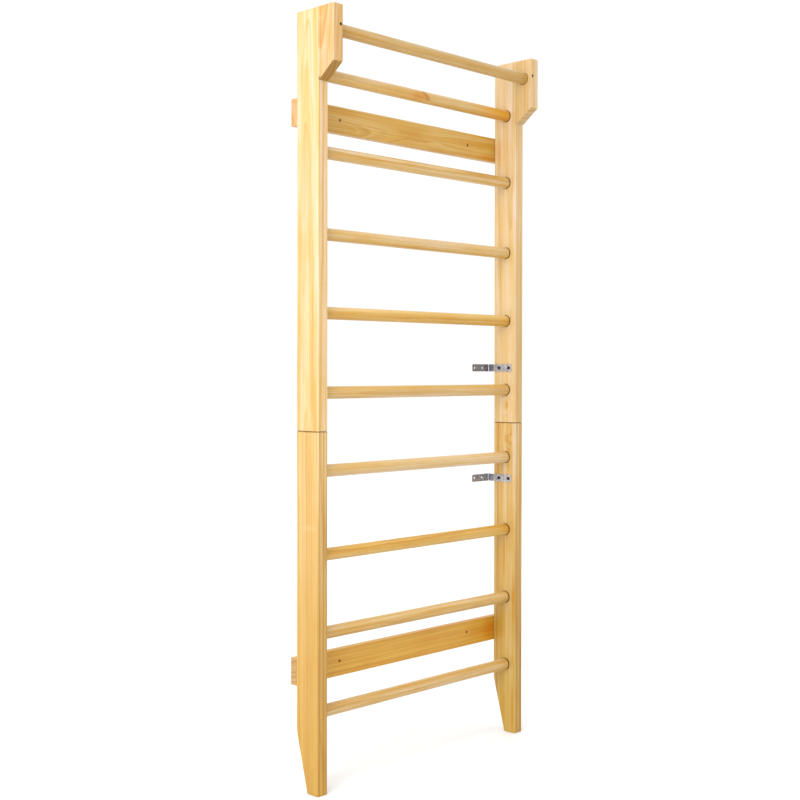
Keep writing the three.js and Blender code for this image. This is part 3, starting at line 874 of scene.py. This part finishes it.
def pilot_cutter(screw):
    """A plain hole along a screw that is driven sideways into an upright."""
    low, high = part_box(screw)
    centre = (low + high) / 2
    sign = math.copysign(1, centre.x)
    reach = max(abs(low.x), abs(high.x)) - INNER_X
    start = (sign * (INNER_X - 1 * MM), centre.y, centre.z)
    depth = reach + 1.5 * MM
    profile = [(0, 0), (PILOT_RADIUS, 0), (PILOT_RADIUS, depth), (0, depth)]
    return cutter(profile, start, (sign, 0, 0))


def quadratic(start, control, end, steps):
    """Points along a quadratic curve, its ends included."""
    points = []
    for i in range(steps + 1):
        t = i / steps
        weights = ((1 - t) ** 2, 2 * t * (1 - t), t ** 2)
        points.append(tuple(
            weights[0] * a + weights[1] * b + weights[2] * c for a, b, c in zip(start, control, end)))
    return points


def lower_outline():
    """A lower upright: its foot tapers at the back, eased in by a curve."""
    back = Vector((POST_BACK - POST_FRONT - FOOT_DEPTH, FOOT_TAPER_Z)).normalized()
    below = (POST_BACK - FOOT_CURVE * back.x, FOOT_TAPER_Z - FOOT_CURVE * back.y)
    above = (POST_BACK, FOOT_TAPER_Z + FOOT_CURVE)
    return [
        (POST_FRONT, FOOT_LOW.z),
        (POST_FRONT + FOOT_DEPTH, FOOT_LOW.z),
        *quadratic(below, (POST_BACK, FOOT_TAPER_Z), above, 6),
        (POST_BACK, SEAM_BOTTOM),
        (POST_FRONT, SEAM_BOTTOM),
    ]


def upper_outline():
    return [
        (POST_FRONT, SEAM_TOP),
        (POST_BACK, SEAM_TOP),
        (POST_BACK, POST_TOP),
        (POST_FRONT, POST_TOP),
        (POST_FRONT, WING_ROOT_Z),
    ]


def wing_outline():
    """A wing block: its sloping underside ends in a small flat at the upright."""
    slope = (WING_NOSE_Z - WING_ROOT_Z) / (POST_FRONT - WING_FRONT)
    tip_y = POST_FRONT - (WING_LOW.z - WING_ROOT_Z) / slope
    return [
        (tip_y, WING_LOW.z),
        (WING_HIGH.y, WING_LOW.z),
        (WING_HIGH.y, POST_TOP),
        (WING_FRONT, POST_TOP),
        (WING_FRONT, WING_NOSE_Z),
    ]


def behind_wing(point):
    """Edges of the upper post that the wing covers."""
    return point.y < POST_FRONT + TOUCH and point.z > WING_ROOT_Z - TOUCH


def against_post(point):
    """Edges of the wing that lie on the post."""
    return point.y > WING_HIGH.y - TOUCH or point.z < WING_LOW.z + TOUCH


def bracket_screws(side, level):
    return [f"{side}_{level}_bracket_screw_{i}" for i in (1, 2)]


def make_uprights():
    rungs = [middle(name) for name in RUNGS]
    for side in SIDES:
        for level in LEVELS:
            name = f"{side}_{level}_post"
            if level == "lower":
                post = board(f"{name}_fine", lower_outline(), side)
            else:
                post = board(f"{name}_fine", upper_outline(), side, behind_wing)
            low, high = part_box(name)
            sockets = [socket_cutter(side, at.y, at.z) for at in rungs if low.z < at.z < high.z]
            pilots = [pilot_cutter(screw) for screw in bracket_screws(side, level)]
            subtract(post, sockets + pilots)
            finish_shading(post)
            publish(post, PINE[name], f"pine_{level}", name)


def make_wings():
    bar = middle("pull_up_bar")
    for side in SIDES:
        name = f"{side}_wing_block"
        wing = board(f"{name}_fine", wing_outline(), side, against_post)
        lock = middle(f"{side}_bar_locking_screw")
        hole = cutter(countersunk(**LOCK_HOLE), (lock.x, WING_FRONT - BEYOND, lock.z), (0, 1, 0))
        subtract(wing, [socket_cutter(side, bar.y, bar.z), hole])
        finish_shading(wing)
        publish(wing, PINE[name], "pine_upper", name)


# ---- Rungs and pull-up bar ----


def make_round_bars():
    eased = RUNG_RADIUS - RUNG_CHAMFER
    for name in RUNGS + ["pull_up_bar"]:
        low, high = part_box(name)
        length = high.x - low.x
        profile = [(0, 0), (eased, 0), (RUNG_RADIUS, RUNG_CHAMFER)]
        profile += [(RUNG_RADIUS, length - RUNG_CHAMFER), (eased, length), (0, length)]
        start = (low.x, (low.y + high.y) / 2, (low.z + high.z) / 2)
        piece = mesh_from(f"{name}_fine", lambda bm: turned(bm, profile, start, (1, 0, 0), ROUND_SIDES))
        finish_shading(piece)
        publish(piece, PINE[name], "pine_rung", name)


# ---- Battens ----


def batten_board(name, low, high):
    """A batten with its edges and corners rounded."""

    def build(bm):
        outline = [(low.x, low.y, low.z), (low.x, high.y, low.z)]
        outline += [(low.x, high.y, high.z), (low.x, low.y, high.z)]
        extruded(bm, outline, (high.x - low.x, 0, 0))
        bmesh.ops.bevel(bm, geom=bm.edges[:], offset=BATTEN_ROUND, segments=3, profile=0.5, affect="EDGES")

    return mesh_from(name, build)


def make_battens():
    for level in LEVELS:
        name = f"{level}_wall_batten"
        low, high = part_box(name)
        batten = batten_board(f"{name}_fine", low, high)
        z = WALL_HOLE_HEIGHTS[level]
        through = high.y - low.y + BEYOND
        profile = countersunk(WALL_HOLE_SINK, WALL_HOLE_RADIUS, 0, through)
        holes = [cutter(profile, (x, low.y - BEYOND, z), (0, 1, 0))
                 for x in (low.x + WALL_HOLE_INSET, high.x - WALL_HOLE_INSET)]
        profile = countersunk(**BATTEN_SCREW_HOLE, depth=through)
        for side in SIDES:
            for i in (1, 2):
                seat = middle(f"{side}_{level}_batten_screw_{i}")
                holes.append(cutter(profile, (seat.x, high.y + BEYOND, seat.z), (0, -1, 0)))
        subtract(batten, holes)
        finish_shading(batten)
        publish(batten, PINE[name], "pine_batten", name)


# ---- Brackets ----


def arc(centre, radius, start, end, steps):
    """Points on an arc; angles in degrees."""
    angles = [math.radians(start + (end - start) * i / steps) for i in range(steps + 1)]
    return [(centre[0] + radius * math.cos(a), centre[1] + radius * math.sin(a)) for a in angles]


def corner_cutter(place, width, radius):
    """Cuts a square corner to a radius. place(u, v, w) maps from the corner, inwards along u and v."""
    out = -2 * MM
    outline = [(out, out), (radius, out)] + arc((radius, radius), radius, 270, 180, 8) + [(out, radius)]
    low = [place(u, v, -width) for u, v in outline]
    offset = place(0, 0, width) - place(0, 0, -width)
    return mesh_from("cutter", lambda bm: extruded(bm, low, offset))


def bracket_outline(post_leg, wall_leg):
    """The bent strip from above: (along the wall leg, along the post leg) from the bend's corner."""
    outer = BRACKET_THICKNESS + BRACKET_BEND
    outline = arc((outer, outer), outer, 180, 270, 12)
    outline += [(wall_leg, 0), (wall_leg, BRACKET_THICKNESS)]
    outline += arc((outer, outer), BRACKET_BEND, 270, 180, 12)
    return outline + [(BRACKET_THICKNESS, post_leg), (0, post_leg)]


def bracket_cutters(place, post_leg, wall_leg, width, sign):
    """Cutters for the rounded corners of both legs, and for their holes."""
    through = 6 * MM
    cuts = []
    for top in (0, 1):
        def on_post(u, v, w):
            return place(w, post_leg - u, width - v if top else v)

        def on_wall(u, v, w):
            return place(wall_leg - u, w, width - v if top else v)

        cuts.append(corner_cutter(on_post, through, BRACKET_CORNER))
        cuts.append(corner_cutter(on_wall, through, BRACKET_CORNER))
    profile = [(0, 0), (BRACKET_HOLE, 0), (BRACKET_HOLE, 2 * through), (0, 2 * through)]
    for reach in BRACKET_POST_HOLES:
        cuts.append(cutter(profile, place(-through, reach, width / 2), (-sign, 0, 0)))
    for reach in BRACKET_WALL_HOLES:
        cuts.append(cutter(profile, place(reach, -through, width / 2), (0, -1, 0)))
    return cuts


def ease_edges(piece):
    bevel = piece.modifiers.new("edges", "BEVEL")
    bevel.width = BRACKET_EDGE
    bevel.segments = 2
    bevel.limit_method = "ANGLE"
    bevel.angle_limit = math.radians(40)
    apply_modifiers(piece)


def make_bracket(name, sign):
    low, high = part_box(name)
    post_leg = high.y - low.y
    wall_leg = high.x - low.x
    width = high.z - low.z
    corner = Vector((high.x if sign > 0 else low.x, WALL, low.z))

    def place(inwards, forwards, up=0.0):
        """From the corner of the bend, where the upright's face meets the wall."""
        return corner + Vector((-sign * inwards, -forwards, up))

    points = [place(u, v) for u, v in bracket_outline(post_leg, wall_leg)]
    strip = mesh_from(f"{name}_fine", lambda bm: extruded(bm, points, (0, 0, width)))
    subtract(strip, bracket_cutters(place, post_leg, wall_leg, width, sign))
    ease_edges(strip)
    finish_shading(strip)
    publish(strip, ZINC, "zinc_steel", name)


def make_brackets():
    for side, sign in SIDES.items():
        for level in LEVELS:
            make_bracket(f"{side}_{level}_bracket", sign)


# ---- Screws and dowels ----


def threads(radius, start, end):
    """Ridges of a wood screw's thread, as points of a turned profile."""
    points = []
    distance = start
    while distance + THREAD_PITCH < end:
        crest = (radius * THREAD_CREST, distance + 0.5 * THREAD_PITCH)
        points += [(radius, distance), crest, (radius, distance + THREAD_PITCH)]
        distance += THREAD_PITCH
    return points


def cross_recess(top, direction, reach):
    """The tapered arms of a cross recess, as cutters."""
    turn = Vector((0, 0, 1)).rotation_difference(Vector(direction))
    place = Matrix.Translation(top) @ turn.to_matrix().to_4x4()
    slot = 0.28 * reach
    depth = 0.8 * reach
    taper = 0.45
    arms = []
    for long, short in ((reach, slot), (slot, reach)):
        def build(bm):
            corners = [(-long, -short), (long, -short), (long, short), (-long, short)]
            mouth = [bm.verts.new(place @ Vector((x, y, -depth))) for x, y in corners]
            floor = [bm.verts.new(place @ Vector((x * taper, y * taper, depth))) for x, y in corners]
            bm.faces.new(mouth)
            bm.faces.new(floor)
            for i in range(4):
                j = (i + 1) % 4
                bm.faces.new([mouth[i], mouth[j], floor[j], floor[i]])
        arms.append(mesh_from("cutter", build))
    return arms


def pan_profile(shank, head, length):
    """A pan-head screw seated at 0: its dome below that, its shank and tip above."""
    steps = 7
    turns = [math.pi / 2 * (1 - i / steps) for i in range(steps + 1)]
    dome = [(head * math.cos(a), -PAN_HEAD_HEIGHT * (0.35 + 0.65 * math.sin(a))) for a in turns]
    dome[0] = (0, -PAN_HEAD_HEIGHT)
    under = [(head, -0.1 * MM), (head - 0.2 * MM, 0), (shank, 0)]
    tip = length - 2 * shank
    return dome + under + threads(shank, 1 * MM, tip) + [(shank, tip), (0, length)]


def flat_profile(shank, head, length):
    """A countersunk screw, from the flat of its head at 0 to its tip."""
    neck = head - shank
    tip = length - 2 * shank
    top = [(0, 0), (head - 0.15 * MM, 0), (head, 0.15 * MM), (shank, neck)]
    return top + threads(shank, neck + 4 * MM, tip) + [(shank, tip), (0, length)]


def make_screw(node, profile, start, direction, top, recess, material, slot):
    """A screw from its profile; start is the profile's 0 and top the outside of its head."""
    screw = mesh_from(f"{node}_fine", lambda bm: turned(bm, profile, start, direction, HOLE_SIDES))
    subtract(screw, cross_recess(top, direction, recess))
    finish_shading(screw, 35)
    publish(screw, material, slot, node)


def make_bracket_screw(node, sign):
    low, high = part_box(node)
    centre = (low + high) / 2
    seat = min(abs(low.x), abs(high.x)) + PAN_HEAD_HEIGHT
    start = Vector((sign * seat, centre.y, centre.z))
    top = Vector((sign * (seat - PAN_HEAD_HEIGHT), centre.y, centre.z))
    profile = pan_profile(SCREW_SHANK, (high.y - low.y) / 2, high.x - low.x - PAN_HEAD_HEIGHT)
    make_screw(node, profile, start, (sign, 0, 0), top, SCREW_RECESS, BLACK, "black_steel")


def make_batten_screw(node):
    low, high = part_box(node)
    centre = (low + high) / 2
    start = Vector((centre.x, high.y, centre.z))
    profile = flat_profile(SCREW_SHANK, (high.x - low.x) / 2, high.y - low.y)
    make_screw(node, profile, start, (0, -1, 0), start, SCREW_RECESS, YELLOW_ZINC, "yellow_zinc")


def make_lock_screw(node):
    low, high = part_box(node)
    centre = (low + high) / 2
    start = Vector((centre.x, low.y, centre.z))
    profile = flat_profile(LOCK_SHANK, (high.x - low.x) / 2, high.y - low.y)
    make_screw(node, profile, start, (0, 1, 0), start, LOCK_RECESS, BLACK, "black_steel")


def make_screws():
    for side, sign in SIDES.items():
        for level in LEVELS:
            for node in bracket_screws(side, level):
                make_bracket_screw(node, sign)
            for i in (1, 2):
                make_batten_screw(f"{side}_{level}_batten_screw_{i}")
        make_lock_screw(f"{side}_bar_locking_screw")


def fluted(bm, start, axis, length, radius):
    """A dowel with chamfered ends, and flutes where every other line of its side is drawn in."""
    eased = radius - DOWEL_CHAMFER
    profile = [(0, 0), (eased, 0), (radius, DOWEL_CHAMFER)]
    profile += [(radius, length - DOWEL_CHAMFER), (eased, length), (0, length)]
    turned(bm, profile, start, axis, HOLE_SIDES)
    bm.verts.ensure_lookup_table()
    for v in bm.verts:
        away = v.co - start
        along = away.dot(axis)
        out = away - axis * along
        if out.length > radius - TOUCH and v.index % 2 == 1:
            v.co = start + axis * along + out * (1 - FLUTE_DEPTH / radius)


def make_dowel(node, axis):
    low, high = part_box(node)
    size = high - low
    length = size.dot(axis)
    start = (low + high) / 2 - axis * length / 2
    dowel = mesh_from(f"{node}_fine", lambda bm: fluted(bm, start, axis, length, size.x / 2))
    finish_shading(dowel, 20)
    publish(dowel, BEECH, "beech_dowel", node)


def make_dowels():
    """Beech dowels, hidden in the seams and behind the wings."""
    axes = {"seam": Vector((0, 0, 1)), "wing": Vector((0, 1, 0))}
    for side in SIDES:
        for kind, axis in axes.items():
            for i in (1, 2):
                make_dowel(f"{side}_{kind}_dowel_{i}", axis)


# ---- Build ----

make_camera()
make_studio()
make_uprights()
make_wings()
make_round_bars()
make_battens()
make_brackets()
make_screws()
make_dowels()
